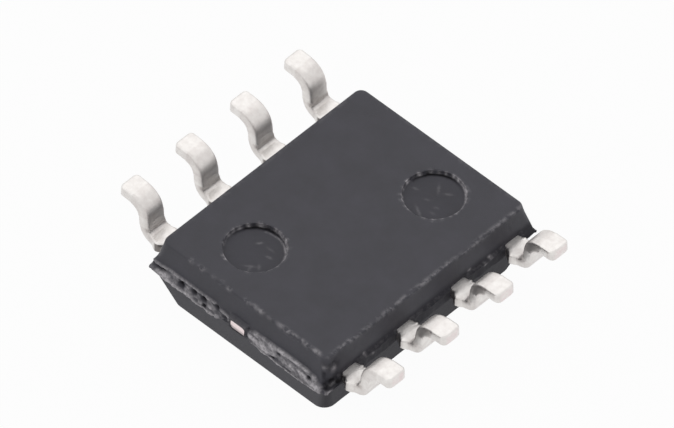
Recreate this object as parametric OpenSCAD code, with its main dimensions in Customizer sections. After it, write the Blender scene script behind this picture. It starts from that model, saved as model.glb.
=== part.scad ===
// Eight-lead small-outline surface-mount chip, lying on its marked face with its feet up.
//
// Millimetres. The origin is the centre of the marked face, on the surface the chip lies on.
// Z points from the marked face to the board side, X points along the leads of one row,
// and Y runs along the rows. The leadframe's level starts at the mould's parting line.

/* [Moulded body] */
// Length of the body at the parting line, over its two short ends
body_length = 4.9; // [4.8:0.05:5.2]
// Width of the body at the parting line, between the two rows of leads
body_width = 3.9; // [3.8:0.05:4]
// Height of the body from its marked face to its board face
body_height = 1.45; // [1.4:0.01:1.6]
// Height of the parting line above the marked face
parting_height = 0.82; // [0.78:0.01:0.86]
// Draft of the sides between the parting line and the marked face, in degrees
marked_draft = 16; // [8:1:18]
// Draft of the sides between the parting line and the board face, in degrees
board_draft = 11; // [6:1:15]
// Radius of the body's upright corners at the parting line and the board face
corner_radius = 0.14; // [0.05:0.01:0.25]
// Radius of the body's corners at the marked face
marked_corner = 0.22; // [0.1:0.01:0.3]
// How far the thin mould flash stands out along the parting line
flash_reach = 0.03; // [0.01:0.01:0.06]
// Thickness of the mould flash
flash_thickness = 0.03; // [0.02:0.01:0.05]
// How far the resin that the dam bar held back stands out between the leads
dam_resin_reach = 0.03; // [0.01:0.01:0.06]

/* [Ejector marks on the board face] */
// Diameter of each round ejector-pin mark
ejector_diameter = 1.05; // [0.8:0.05:1.2]
// Depth of each mark
ejector_depth = 0.06; // [0.02:0.01:0.08]
// Offset of each mark from the middle, across the body
ejector_across = 0.635; // [0.4:0.005:0.9]
// Offset of each mark from the middle, along the body
ejector_along = 1.425; // [1.2:0.005:1.5]

/* [Pin-one dimple on the marked face] */
// Diameter of the dimple's mouth
dimple_diameter = 0.5; // [0.3:0.05:0.7]
// Depth of the dimple
dimple_depth = 0.06; // [0.03:0.01:0.1]
// Distance of the dimple's centre from the marked face's two nearest edges
dimple_inset = 0.72; // [0.5:0.02:0.9]

/* [Broken resin on the short ends] */
// Length of the broken gate beside the tie bar
gate_length = 1.44; // [1:0.02:1.5]
// How far the broken gate stands out of the end, at most
gate_reach = 0.09; // [0.05:0.01:0.12]
// Depth that the broken gate reaches below the parting line
gate_drop = 0.15; // [0.08:0.01:0.2]
// How far the thin broken edges stand out, at most
vent_reach = 0.05; // [0.03:0.01:0.07]
// Spacing of the ragged points along a broken edge
tear_pitch = 0.09; // [0.06:0.01:0.12]
// Clear space between the tie bar's sides and the broken resin
break_gap = 0.06; // [0.04:0.01:0.1]

/* [Leads] */
// Distance over the toes of the two rows
lead_span = 6; // [5.9:0.05:6.2]
// Distance between neighbouring leads
lead_pitch = 1.27; // [1.2:0.01:1.3]
// Thickness of the leadframe
lead_thickness = 0.2; // [0.17:0.01:0.25]
// Width of a lead at its riser and foot
lead_width = 0.41; // [0.36:0.01:0.46]
// Width of a lead where it comes out of the body
root_width = 0.36; // [0.3:0.01:0.4]
// Width over the two stubs left by the cut dam bar
stub_width = 0.53; // [0.48:0.01:0.6]
// Length of a dam-bar stub along the lead
stub_length = 0.19; // [0.15:0.01:0.22]
// Distance from the body's side to the first bend
shoulder_length = 0.29; // [0.25:0.01:0.32]
// Inner radius of the bend at the shoulder
shoulder_bend = 0.1; // [0.08:0.01:0.14]
// Inner radius of the bend at the heel of the foot
heel_bend = 0.18; // [0.12:0.01:0.2]
// Lean of the riser away from upright, in degrees
riser_lean = 5; // [0:1:10]
// Rise of the foot from its heel to its toe, in degrees
foot_angle = 3; // [0:1:6]
// Height of the toe's solder face above the board face
standoff = 0.24; // [0.1:0.01:0.25]
// Radius of the toe's two corners
toe_corner = 0.09; // [0.03:0.01:0.1]

/* [Leadframe inside the body] */
// Width of the die paddle
paddle_width = 2.2; // [1.9:0.1:2.2]
// Length of the die paddle
paddle_length = 2.8; // [2.4:0.1:2.8]
// Distance from the frame's level to the paddle's, towards the board face
paddle_offset = 0.2; // [0.1:0.01:0.2]
// Width of the two tie bars that carry the paddle
tie_bar_width = 0.3; // [0.2:0.02:0.36]
// How far the cut ends of the tie bars stand out of the short ends
tie_bar_reach = 0.02; // [0.01:0.01:0.04]
// Clear distance between the paddle and the leads' bond pads
pad_gap = 0.22; // [0.18:0.01:0.26]
// Width of the bond pads
pad_width = 0.5; // [0.42:0.01:0.52]
// Length of the bond pads on the two middle leads of a row
short_pad_length = 0.3; // [0.24:0.01:0.32]
// Length of the bond pads on the two end leads of a row
long_pad_length = 0.75; // [0.6:0.01:0.8]

/* [Die and bond wires] */
// Width of the silicon die
die_width = 1.5; // [1.2:0.05:1.6]
// Length of the silicon die
die_length = 2; // [1.6:0.05:2.2]
// Thickness of the silicon die
die_thickness = 0.28; // [0.2:0.01:0.3]
// Thickness of the die-attach adhesive
attach_thickness = 0.03; // [0.02:0.01:0.04]
// Width of the adhesive's edge around the die
attach_edge = 0.05; // [0.03:0.01:0.1]
// Diameter of the bond wires
wire_diameter = 0.03; // [0.025:0.005:0.05]
// Straight height of a wire above its ball
wire_neck = 0.08; // [0.05:0.01:0.12]
// Radius of a wire's bend, at its middle
wire_bend = 0.06; // [0.05:0.01:0.1]
// Diameter of the ball bonds and the stitch bonds
bond_diameter = 0.08; // [0.07:0.005:0.1]
// Height of the ball bonds
ball_height = 0.02; // [0.015:0.005:0.03]
// Height of the stitch bonds
stitch_height = 0.012; // [0.01:0.002:0.02]
// Distance of the bonds from the edges of the die and the pads
bond_inset = 0.12; // [0.1:0.01:0.15]

/* [Hidden] */
LEADS = 4;

EPOXY = "#47474b";
TIN = "#d9d6d3";
COPPER = "#d9a08c";
SILVER_EPOXY = "#b9b4a6";
SILICON = "#5b6070";
GOLD = "#d6a93c";

$fn = 48;
corner_facets = 32;
bend_steps = 14;
wire_steps = 6;
wire_sides = 10;
slice = 0.001;
frame_base = parting_height;
frame_top = frame_base + lead_thickness;
half_width = body_width / 2;
half_length = body_length / 2;
marked_inset = parting_height * tan(marked_draft);
board_inset = (body_height - parting_height) * tan(board_draft);

// The leads, seen from above.
bend_start = half_width + shoulder_length;
stub_end = bend_start - stub_length / 12;
stub_start = stub_end - stub_length;
pad_start = paddle_width / 2 + pad_gap;
end_pad_start = pad_start + short_pad_length - long_pad_length;
pad_shift = (pad_width - root_width) / 2;

// The leads, seen from the side in the plane of X and Z.
riser_angle = 90 - riser_lean;
shoulder_radius = shoulder_bend + lead_thickness / 2;
heel_radius = heel_bend + lead_thickness / 2;
frame_middle = frame_base + lead_thickness / 2;
riser_start = [
    bend_start + shoulder_radius * sin(riser_angle),
    frame_middle + shoulder_radius * (1 - cos(riser_angle))
];
riser_along = [cos(riser_angle), sin(riser_angle)];
foot_along = [cos(foot_angle), sin(foot_angle)];
toe_x = lead_span / 2;
toe_middle = [toe_x, body_height + standoff - lead_thickness / 2 / cos(foot_angle)];
riser_to_fold = cross(toe_middle - riser_start, foot_along) / cross(riser_along, foot_along);
fold = riser_start + riser_to_fold * riser_along;
heel_start = fold - heel_radius * tan((riser_angle - foot_angle) / 2) * riser_along;
heel_centre = heel_start + heel_radius * [sin(riser_angle), -cos(riser_angle)];
toe_past_end = toe_middle + lead_thickness * foot_along;
gull_wing_path = concat(
    [[[end_pad_start, frame_middle], 0]],
    bend_path([bend_start, frame_middle + shoulder_radius], shoulder_radius, 0, riser_angle),
    bend_path(heel_centre, -heel_radius, riser_angle, foot_angle),
    [[toe_past_end, foot_angle]]
);

// The stack on the paddle, from the board side down to the die's face.
paddle_base = frame_base + paddle_offset;
attach_base = paddle_base - attach_thickness;
die_base = attach_base - die_thickness;

// The middle line of a bend, as points with the strip's slope at each, for a bend that turns
// from one slope to another. The centre is above the strip, or below it for a negative radius.
function bend_path(centre, radius, from, to, steps = bend_steps) = [
    for (k = [0 : steps])
        let (slope = from + (to - from) * k / steps)
            [centre + radius * [sin(slope), -cos(slope)], slope]
];

// A ring of points around a wire, square to its path at one station.
function wire_ring(station) = [
    for (k = [0 : wire_sides - 1])
        let (
            turn = 360 * k / wire_sides,
            lift = wire_diameter / 2 * cos(turn)
        )
            [
                station[0][0] - lift * sin(station[1]),
                wire_diameter / 2 * sin(turn),
                station[0][1] + lift * cos(station[1])
            ]
];

// One face of a bent strip, at a distance to the left of its middle line.
function strip_side(path, distance) =
    [for (p = path) p[0] + distance * [-sin(p[1]), cos(p[1])]];

function row_side(i) = i < LEADS ? 1 : -1;
function lead_y(i) =
    lead_pitch * (i < LEADS ? (LEADS - 1) / 2 - i : i - LEADS - (LEADS - 1) / 2);
function is_end(i) = abs(lead_y(i)) > lead_pitch;
function end_side(i) = sign(lead_y(i));

// Where wire i lands on its lead and where it starts on the die, seen from above.
function pad_bond(i) = [
    row_side(i) * ((is_end(i) ? end_pad_start : pad_start) + bond_inset),
    lead_y(i) - (is_end(i) ? end_side(i) * pad_shift : 0)
];
function die_bond(i) = [
    row_side(i) * (die_width / 2 - bond_inset),
    end_side(i) * (is_end(i) ? die_length / 2 - bond_inset : die_length / 4 - bond_inset)
];

module plate(width, length, z, corner) {
    translate([0, 0, z])
        linear_extrude(slice)
            for (x = [-1, 1], y = [-1, 1])
                translate([x * (width / 2 - corner), y * (length / 2 - corner)])
                    circle(corner, $fn = corner_facets);
}

// One half of the mould: its face at z_face, drawn in by an inset from the parting line.
module body_half(z_face, inset, face_corner) {
    hull() {
        plate(body_width - 2 * inset, body_length - 2 * inset, z_face, face_corner);
        plate(body_width, body_length, parting_height, corner_radius);
    }
}

module flash() {
    width = body_width + 2 * flash_reach;
    length = body_length + 2 * flash_reach;
    translate([-width / 2, -length / 2, parting_height - flash_thickness / 2])
        cube([width, length, flash_thickness]);
}

// Resin as thick as the leads, in front of the sides between the leads' rows.
module dam_resin() {
    width = body_width + 2 * dam_resin_reach;
    length = body_length - 4 * corner_radius;
    translate([-width / 2, -length / 2, frame_base])
        cube([width, length, lead_thickness]);
}

// A strip of torn resin on the end at -Y, from x_start over length, with a ragged outer edge.
module torn_strip(x_start, length, z_low, z_high, reach, seed) {
    teeth = floor(length / tear_pitch);
    depth = rands(0.35, 1, teeth + 1, seed);
    edge = [
        for (k = [0 : teeth])
            [x_start + length * k / teeth, -half_length - reach * depth[k]]
    ];
    translate([0, 0, z_low])
        linear_extrude(z_high - z_low)
            polygon(concat(
                [[x_start, -half_length + 2 * reach]],
                edge,
                [[x_start + length, -half_length + 2 * reach]]
            ));
}

module gate_end() {
    inner = tie_bar_width / 2 + break_gap;
    outer = half_width - 2 * corner_radius;
    third = (frame_top - frame_base + gate_drop) / 3;
    low = frame_base - gate_drop;
    torn_strip(inner, gate_length, low, low + third, gate_reach, 7);
    torn_strip(inner, gate_length, low + third, low + 2 * third, gate_reach * 0.8, 19);
    torn_strip(inner, gate_length, low + 2 * third, frame_top, gate_reach * 0.6, 31);
    torn_strip(-outer, outer - inner, frame_base - gate_drop / 2, frame_base, vent_reach, 43);
    torn_strip(-outer, outer - inner, frame_top - flash_thickness, frame_top, vent_reach / 2, 5);
}

module vent_end() {
    inner = tie_bar_width / 2 + break_gap;
    outer = half_width - 2 * corner_radius;
    rotate(180) {
        torn_strip(inner, outer - inner, frame_base, frame_top, vent_reach, 11);
        torn_strip(-outer, outer - inner, frame_base, frame_top, vent_reach, 23);
    }
}

module ejector_marks() {
    for (side = [-1, 1])
        translate([side * ejector_across, side * ejector_along, body_height - ejector_depth])
            cylinder(d = ejector_diameter, h = 2 * ejector_depth);
}

module pin_one_dimple() {
    translate([
        half_width - marked_inset - dimple_inset,
        half_length - marked_inset - dimple_inset,
        -dimple_depth
    ])
        cylinder(
            d1 = dimple_diameter + dimple_depth,
            d2 = dimple_diameter - dimple_depth,
            h = 2 * dimple_depth
        );
}

module mould_body() {
    color(EPOXY) difference() {
        union() {
            body_half(0, marked_inset, marked_corner);
            body_half(body_height - slice, board_inset, corner_radius);
            flash();
            dam_resin();
            gate_end();
            vent_end();
        }
        ejector_marks();
        pin_one_dimple();
        paddle_shape();
        attach_shape();
        die_shape();
        for (i = [0 : 2 * LEADS - 1]) {
            lead_shape(i);
            wire_shape(i);
        }
    }
}

module paddle_shape() {
    tie_end = half_length + tie_bar_reach;
    ramp_start = paddle_length / 2 + paddle_offset;
    union() {
        translate([-paddle_width / 2, -paddle_length / 2, paddle_base])
            cube([paddle_width, paddle_length, lead_thickness]);
        for (turn = [0, 180])
            rotate(turn)
                translate([-tie_bar_width / 2, 0, 0])
                    rotate([90, 0, 90])
                        linear_extrude(tie_bar_width)
                            polygon([
                                [paddle_length / 2 - lead_thickness, paddle_base],
                                [ramp_start, paddle_base],
                                [ramp_start + paddle_offset, frame_base],
                                [tie_end, frame_base],
                                [tie_end, frame_top],
                                [ramp_start + paddle_offset, frame_top],
                                [ramp_start, paddle_base + lead_thickness],
                                [paddle_length / 2 - lead_thickness, paddle_base + lead_thickness]
                            ]);
    }
}

module attach_shape() {
    translate([-die_width / 2 - attach_edge, -die_length / 2 - attach_edge, attach_base])
        cube([die_width + 2 * attach_edge, die_length + 2 * attach_edge, attach_thickness]);
}

module die_shape() {
    translate([-die_width / 2, -die_length / 2, die_base])
        cube([die_width, die_length, die_thickness]);
}

module rounded_bar(x_from, x_to, width, radius) {
    translate([x_from, -width / 2 + radius])
        square([x_to - x_from, width - 2 * radius]);
    translate([x_from + radius, -width / 2])
        square([x_to - x_from - 2 * radius, width]);
    for (x = [x_from + radius, x_to - radius], y = [-1, 1])
        translate([x, y * (width / 2 - radius)])
            circle(radius);
}

// The gull wing from the side: shoulder, bend, riser, heel bend and foot, as one even strip.
module gull_wing_side() {
    polygon(concat(
        strip_side(gull_wing_path, lead_thickness / 2),
        [for (k = [len(gull_wing_path) - 1 : -1 : 0])
            strip_side(gull_wing_path, -lead_thickness / 2)[k]]
    ));
}

// The lead from above: foot and riser, dam-bar stubs, root and bond pad.
module lead_plan(end_lead) {
    rounded_bar(stub_start + stub_length / 2, toe_x, lead_width, toe_corner);
    rounded_bar(stub_start, stub_end, stub_width, stub_length / 3);
    translate([pad_start, -root_width / 2])
        square([stub_start + stub_length / 2 - pad_start, root_width]);
    if (end_lead)
        translate([0, -pad_shift])
            rounded_bar(end_pad_start, end_pad_start + long_pad_length, pad_width, toe_corner);
    else
        rounded_bar(pad_start, pad_start + short_pad_length, pad_width, toe_corner);
}

module lead_shape(i) {
    end_lead = is_end(i);
    // The pads of the end leads reach towards the middle of the row.
    translate([0, lead_y(i), 0])
        mirror([row_side(i) < 0 ? 1 : 0, 0, 0])
            mirror([0, end_side(i) < 0 ? 1 : 0, 0])
                intersection() {
                    translate([0, stub_width, 0])
                        rotate([90, 0, 0])
                            linear_extrude(2 * stub_width)
                                gull_wing_side();
                    linear_extrude(body_height + 2 * standoff)
                        lead_plan(end_lead);
                }
}

// The wire's own thread: even rings along the path, then a straight run up to the pad's level,
// where the last ring lies flat.
module wire_run(path, pad_height) {
    rings = [for (station = path) wire_ring(station)];
    slope = path[len(path) - 1][1];
    run_along = [cos(slope), 0, sin(slope)];
    landing = [
        for (p = rings[len(rings) - 1])
            p + (pad_height - p[2]) / run_along[2] * run_along
    ];
    polyhedron(
        [for (ring = concat(rings, [landing])) each ring],
        concat(
            [[for (k = [wire_sides - 1 : -1 : 0]) k]],
            [for (r = [0 : len(rings) - 1], k = [0 : wire_sides - 1])
                let (next = (k + 1) % wire_sides, above = (r + 1) * wire_sides)
                    [r * wire_sides + k, r * wire_sides + next, above + next, above + k]],
            [[for (k = [0 : wire_sides - 1]) len(rings) * wire_sides + k]]
        )
    );
}

// Wire i in its own upright plane, along U from the ball and upwards from the die's face:
// a ball, a neck, a bend and a straight run that touches the bend and ends on the pad.
module wire_shape(i) {
    from = die_bond(i);
    reach = pad_bond(i) - from;
    pad_height = frame_base - die_base;
    neck_end = ball_height + wire_neck;
    across = norm(reach) - wire_bend;
    rise = pad_height + neck_end;
    slope = atan2(rise, across) + asin(wire_bend / norm([across, rise]));
    translate([from[0], from[1], die_base])
        rotate(atan2(reach[1], reach[0])) {
            translate([0, 0, -ball_height])
                cylinder(d = bond_diameter, h = ball_height);
            wire_run(
                concat(
                    [[[0, -ball_height / 2], -90]],
                    bend_path([wire_bend, -neck_end], wire_bend, -90, slope, wire_steps)
                ),
                pad_height
            );
            translate([norm(reach), 0, pad_height - stitch_height])
                cylinder(d = bond_diameter, h = stitch_height);
        }
}

module die_paddle() { color(COPPER) paddle_shape(); }
module die_attach() { color(SILVER_EPOXY) attach_shape(); }
module silicon_die() { color(SILICON) die_shape(); }
module lead(number) { color(TIN) lead_shape(number - 1); }
module bond_wire(number) { color(GOLD) wire_shape(number - 1); }

mould_body();
die_paddle();
die_attach();
silicon_die();
for (number = [1 : 2 * LEADS]) {
    lead(number);
    bond_wire(number);
}
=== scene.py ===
from math import cos, pi, radians, sin, tan

import bpy
import numpy as np
from bpy.props import FloatProperty, FloatVectorProperty, PointerProperty
from mathutils import Matrix, Vector


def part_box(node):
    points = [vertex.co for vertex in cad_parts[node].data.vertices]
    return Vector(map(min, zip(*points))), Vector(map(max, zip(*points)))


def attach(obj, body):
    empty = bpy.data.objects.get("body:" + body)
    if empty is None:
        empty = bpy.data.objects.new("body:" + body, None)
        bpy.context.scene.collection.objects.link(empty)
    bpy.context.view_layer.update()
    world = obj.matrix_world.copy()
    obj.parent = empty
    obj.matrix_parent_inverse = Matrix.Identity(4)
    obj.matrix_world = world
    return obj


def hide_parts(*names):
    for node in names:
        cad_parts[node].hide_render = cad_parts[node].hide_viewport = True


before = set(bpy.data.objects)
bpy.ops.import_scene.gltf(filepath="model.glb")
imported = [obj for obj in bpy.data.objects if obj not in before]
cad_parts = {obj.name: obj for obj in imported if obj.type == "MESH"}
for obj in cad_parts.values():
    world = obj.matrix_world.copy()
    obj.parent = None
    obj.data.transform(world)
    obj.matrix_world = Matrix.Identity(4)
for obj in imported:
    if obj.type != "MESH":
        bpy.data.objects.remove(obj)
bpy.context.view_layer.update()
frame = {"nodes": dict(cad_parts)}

bl_info = {
    "name": "Small-outline chip",
    "version": (1, 0, 0),
    "blender": (4, 5, 0),
    "location": "View3D > Sidebar > Chip",
    "description": "Dresses an eight-lead moulded chip: torn resin, bent leads and finishes",
    "category": "Object",
}

MM = 0.001
LEADS_IN_ROW = 4
BODY_LOW, BODY_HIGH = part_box("mould_body")
LEAD_LOW, LEAD_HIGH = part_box("lead_1")


def linear(hex_colour):
    """Turn an sRGB hex colour into linear RGB, channel by channel."""
    channels = [int(hex_colour[k:k + 2], 16) / 255 for k in (1, 3, 5)]
    return [c / 12.92 if c <= 0.04045 else ((c + 0.055) / 1.055) ** 2.4 for c in channels]


def length(name, description, default):
    return FloatProperty(name=name, description=description, default=default,
                         unit="LENGTH", precision=6, min=0)


def angle(name, description, degrees):
    return FloatProperty(name=name, description=description, default=radians(degrees),
                         subtype="ANGLE")


def colour(name, description, hex_colour):
    return FloatVectorProperty(name=name, description=description, default=linear(hex_colour),
                               subtype="COLOR", size=3, min=0, max=1)


class ChipBodySizes(bpy.types.PropertyGroup):
    """Sizes of the moulded body."""
    length: length("Length", "Over the short ends at the parting line", 4.9 * MM)
    width: length("Width", "Between the rows of leads at the parting line", 3.9 * MM)
    height: length("Height", "From the marked face to the board face", BODY_HIGH[2])
    parting: length("Parting line", "Height of the parting line", 0.82 * MM)
    marked_draft: angle("Marked draft", "Draft below the parting line", 16)
    board_draft: angle("Board draft", "Draft above the parting line", 11)
    corner: length("Corner radius", "Radius of the upright corners", 0.14 * MM)
    marked_corner: length("Marked corner", "Radius of the marked face's corners", 0.22 * MM)
    edge: length("Edge radius", "Radius of the edges of the two faces", 0.022 * MM)
    flash: length("Flash", "How far the flash stands out along the parting line", 0.03 * MM)
    mark: length("Ejector mark", "Diameter of an ejector mark", 1.05 * MM)
    mark_depth: length("Mark depth", "Depth of an ejector mark", 0.06 * MM)
    mark_across: length("Mark across", "Offset of the marks across the body", 0.635 * MM)
    mark_along: length("Mark along", "Offset of the marks along the body", 1.425 * MM)
    dam_resin: length("Dam resin", "Resin that stands out between the leads", 0.03 * MM)
    frame: length("Frame", "Thickness of the leadframe", 0.2 * MM)
    dimple: length("Dimple", "Diameter of the pin-one dimple", 0.5 * MM)
    dimple_depth: length("Dimple depth", "Depth of the dimple", 0.06 * MM)
    dimple_inset: length("Dimple inset", "From the marked face's edges", 0.72 * MM)
    tie_bar: length("Tie bar", "Width of the tie bar's cut end", 0.3 * MM)


class ChipLeadSizes(bpy.types.PropertyGroup):
    """Sizes of the gull-wing leads."""
    level: length("Frame level", "Height of the leadframe's lower side", LEAD_LOW[2])
    side: length("Body's side", "Distance of the body's side from the middle", 1.95 * MM)
    toe: length("Toe", "Distance of a toe from the middle", LEAD_HIGH[0])
    top: length("Foot height", "Height of the toe's solder face", LEAD_HIGH[2])
    pitch: length("Pitch", "Between neighbouring leads", 1.27 * MM)
    thickness: length("Thickness", "Thickness of the leadframe", 0.2 * MM)
    width: length("Width", "Width at the riser and the foot", 0.41 * MM)
    root: length("Root width", "Width where the lead leaves the body", 0.36 * MM)
    stub: length("Stub width", "Width over the cut dam bar", 0.53 * MM)
    stub_length: length("Stub length", "Length of a dam-bar stub", 0.19 * MM)
    shoulder: length("Shoulder", "From the body's side to the first bend", 0.29 * MM)
    shoulder_bend: length("Shoulder bend", "Inner radius of the first bend", 0.1 * MM)
    heel_bend: length("Heel bend", "Inner radius of the heel's bend", 0.18 * MM)
    riser_lean: angle("Riser lean", "Lean of the riser from upright", 5)
    foot_rise: angle("Foot rise", "Rise of the foot towards its toe", 3)
    toe_corner: length("Toe corner", "Radius of the toe's corners", 0.09 * MM)
    pad_start: length("Pad start", "Where the middle leads' pads begin", 1.32 * MM)
    pad_width: length("Pad width", "Width of a bond pad", 0.5 * MM)
    short_pad: length("Short pad", "Length of a middle lead's pad", 0.3 * MM)
    long_pad: length("Long pad", "Length of an end lead's pad", 0.75 * MM)


class ChipColours(bpy.types.PropertyGroup):
    """Colours of the finishes."""
    resin: colour("Resin", "Matte moulding compound", "#35343c")
    # Painted shade: this darker resin is put in the pits, the marks' far crescents, between and
    # below the leads at +X and low on the -Y end, and it makes the marks' floors a little darker.
    resin_shaded: colour("Deep resin", "Resin in pits, mark floors and between leads", "#151417")
    resin_torn: colour("Torn resin", "Broken resin at the gate and vents", "#c4c0c4")
    tin: colour("Tin", "Matte tin plating", "#e9e6e3")
    tin_dull: colour("Dull tin", "Plating stretched in a bend", "#cfc9c6")
    copper: colour("Copper", "Cut copper of the leadframe", "#f4d9dc")
    # Painted shade: the dark colour of the dam-bar stubs' cut faces.
    stub_shade: colour("Sheared", "Sheared and stained face of a dam-bar stub", "#5a5350")
    floor: colour("Floor", "The paper that the chip lies on", "#dcdcdc")


# ---------------------------------------------------------------- shapes

def value_noise(u, v, seed):
    """Random heights from -1 to 1 at whole numbers, eased between them along u and v."""
    table = np.random.default_rng(seed).uniform(-1, 1, (128, 128))
    iu, iv = np.floor(u).astype(int), np.floor(v).astype(int)
    fu, fv = u - iu, v - iv
    fu, fv = fu * fu * (3 - 2 * fu), fv * fv * (3 - 2 * fv)
    iu, iv, next_u, next_v = iu % 128, iv % 128, (iu + 1) % 128, (iv + 1) % 128
    low = table[iu, iv] * (1 - fu) + table[next_u, iv] * fu
    high = table[iu, next_v] * (1 - fu) + table[next_u, next_v] * fu
    return low * (1 - fv) + high * fv


def rough(u, v, seed):
    """Three layers of value noise, each twice as fine and half as high as the last."""
    return sum(value_noise(u * 2 ** k, v * 2 ** k, seed + k) / 2 ** k for k in range(3)) / 1.75


def ease(low, high, x):
    """Rise smoothly from 0 at low to 1 at high."""
    t = np.clip((x - low) / (high - low), 0, 1)
    return t * t * (3 - 2 * t)


def span(x, start, full, fading, end):
    """Rise smoothly from start to full, stay at 1, and fall from fading to end."""
    return ease(start, full, x) * (1 - ease(fading, end, x))


def ridge(x, width):
    """A bell curve of height 1 around x = 0."""
    return np.exp(-(x / width) ** 2)


def quads(ids):
    """Faces between neighbouring entries of a grid of vertex numbers."""
    return np.stack([ids[:-1, :-1], ids[1:, :-1], ids[1:, 1:], ids[:-1, 1:]], -1).reshape(-1, 4)


def wrapped(ids):
    """Repeat the first column of a grid after its last, to close it round."""
    return np.hstack([ids, ids[:, :1]])


def make_piece(name, points, faces, material, masks, sharp=35):
    """Make a mesh object from points in millimetres, with one float per point in each mask."""
    mesh = bpy.data.meshes.new(name)
    mesh.from_pydata((np.asarray(points) * MM).tolist(), [], faces)
    for title, values in masks.items():
        layer = mesh.attributes.new(title, "FLOAT", "POINT")
        layer.data.foreach_set("value", np.asarray(values, dtype=np.float32))
    mesh.validate()
    mesh.shade_smooth()
    mesh.set_sharp_from_angle(angle=radians(sharp))
    mesh.materials.append(material)
    piece = bpy.data.objects.new(name, mesh)
    bpy.context.scene.collection.objects.link(piece)
    return piece


def steps(knots, counts):
    """Numbers that run evenly from knot to knot, with so many steps in each span."""
    spans = [np.linspace(a, b, n, endpoint=False) for a, b, n in zip(knots, knots[1:], counts)]
    return np.concatenate(spans + [[knots[-1]]])


def disc_warp(x, y, centre, spacing, rings, radii):
    """Turn the square rings of grid points around a centre into circles.

    A point's ring is its larger distance from the centre along X or Y, in steps of the
    spacing. Ring numbers are given radii, and the rings past the last but two ease back
    to squares. Returns the new x and y and the ring number.
    """
    u, v = (x - centre[0]) / spacing, (y - centre[1]) / spacing
    ring = np.maximum(np.abs(u), np.abs(v))
    safe = np.where(ring > 0, ring, 1)
    across = np.abs(u) >= np.abs(v)
    long_way, short_way = np.where(across, u, v), np.where(across, v, u)
    turn = short_way / np.where(long_way == 0, 1, long_way) * pi / 4
    far_part, near_part = np.sign(long_way) * np.cos(turn), np.sign(long_way) * np.sin(turn)
    round_u = np.where(across, far_part, near_part)
    round_v = np.where(across, near_part, far_part)
    blend = ease(rings[-2], rings[-1], ring)
    radius = np.interp(ring, rings, radii)
    new_x = centre[0] + radius * (round_u * (1 - blend) + u / safe * blend)
    new_y = centre[1] + radius * (round_v * (1 - blend) + v / safe * blend)
    inside = ring < rings[-1] - 1e-6
    return np.where(inside, new_x, x), np.where(inside, new_y, y), ring


# Chips on the ejector marks' rims (turn and spread in degrees, strength), and scuffs on
# their floors (place in mm, turn in radians, length in mm, strength).
MARK_CHIPS = (
    ((163, 5, 0.9), (145, 3, 0.9), (121, 6, 0.9), (176, 4, 0.5), (-171, 5, 0.4), (-152, 6, 0.4),
     (-118, 4, 0.4), (-109, 4, 0.8), (-58, 4, 0.9), (-23, 5, 0.3), (-4, 4, 0.4), (17, 8, 0.7),
     (32, 9, 0.7), (47, 8, 1.0), (60, 8, 0.8), (75, 7, 0.8), (90, 7, 0.5)),
    ((160, 4, 1.1), (-170, 5, 0.9), (-152, 6, 0.4), (-135, 4, 0.9), (-124, 4, 1.0),
     (-104, 7, 0.9), (-65, 4, 0.6), (-56, 4, 0.8), (-47, 3, 1.0), (-34, 4, 0.5), (-17, 3, 0.5),
     (-4, 5, 0.9), (8, 8, 0.5), (25, 9, 0.5), (41, 7, 0.7), (54, 6, 0.9), (71, 8, 0.5),
     (85, 4, 0.6), (96, 4, 0.5), (112, 3, 0.5), (125, 4, 0.4), (138, 4, 0.4)))
MARK_SCUFFS = (
    ((-0.05, 0.16, 0.9, 0.05, 0.8), (0.17, 0.18, 0.0, 0.08, 0.3), (0.27, 0.04, 0.2, 0.05, 0.7),
     (0.18, -0.31, 0.6, 0.09, 0.5), (0.30, -0.22, -0.9, 0.06, 0.5), (0.21, -0.35, 2.0, 0.06, 0.5)),
    ((-0.06, 0.17, -0.9, 0.09, 0.6), (0.13, 0.2, 0.6, 0.07, 0.5), (-0.34, -0.08, 0.3, 0.05, 0.5),
     (-0.04, -0.13, 0.4, 0.05, 0.3), (0.19, -0.15, 0.4, 0.04, 0.4), (0.04, -0.41, -0.5, 0.12, 0.6),
     (0.22, -0.28, 0.0, 0.05, 0.4)))
# Thin pale cracks along the marks' walls: turn in degrees, distance in mm, strength.
MARK_CRACKS = (
    ((-45, 0.52, 0), (-35, 0.52, 0.12), (0, 0.51, 0.2), (30, 0.499, 0.4), (47, 0.481, 0.6),
     (58, 0.47, 0.4), (73, 0.456, 0.35), (91, 0.43, 0.25), (109, 0.425, 0.2), (115, 0.42, 0)),
    ((-8, 0.5, 0), (-4, 0.5, 0.35), (6, 0.515, 0.2), (25, 0.51, 0.2), (42, 0.51, 0.3),
     (54, 0.515, 0.5), (71, 0.52, 0.25), (85, 0.52, 0.3), (92, 0.52, 0)))
# Painted shadows, dark crescents on the marks' far sides: turn and spread in degrees, width in mm.
MARK_SHADES = ((122, 45, 0.032), (130, 42, 0.026))
# Rubbed spots along the board face's edge at -Y: place and half length in mm, strength.
EDGE_SPOTS = ((-1.19, 0.06, 0.5), (-0.96, 0.07, 0.7), (-0.7, 0.06, 0.2), (-0.53, 0.04, 0.6),
              (-0.35, 0.05, 0.8), (0.03, 0.05, 0.7), (0.2, 0.08, 0.6), (0.35, 0.06, 0.8),
              (0.55, 0.06, 0.4), (0.78, 0.08, 0.6), (0.95, 0.08, 0.9), (1.1, 0.05, 0.7),
              (1.24, 0.05, 0.8), (1.37, 0.05, 0.8), (1.58, 0.1, 1.0))
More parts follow.
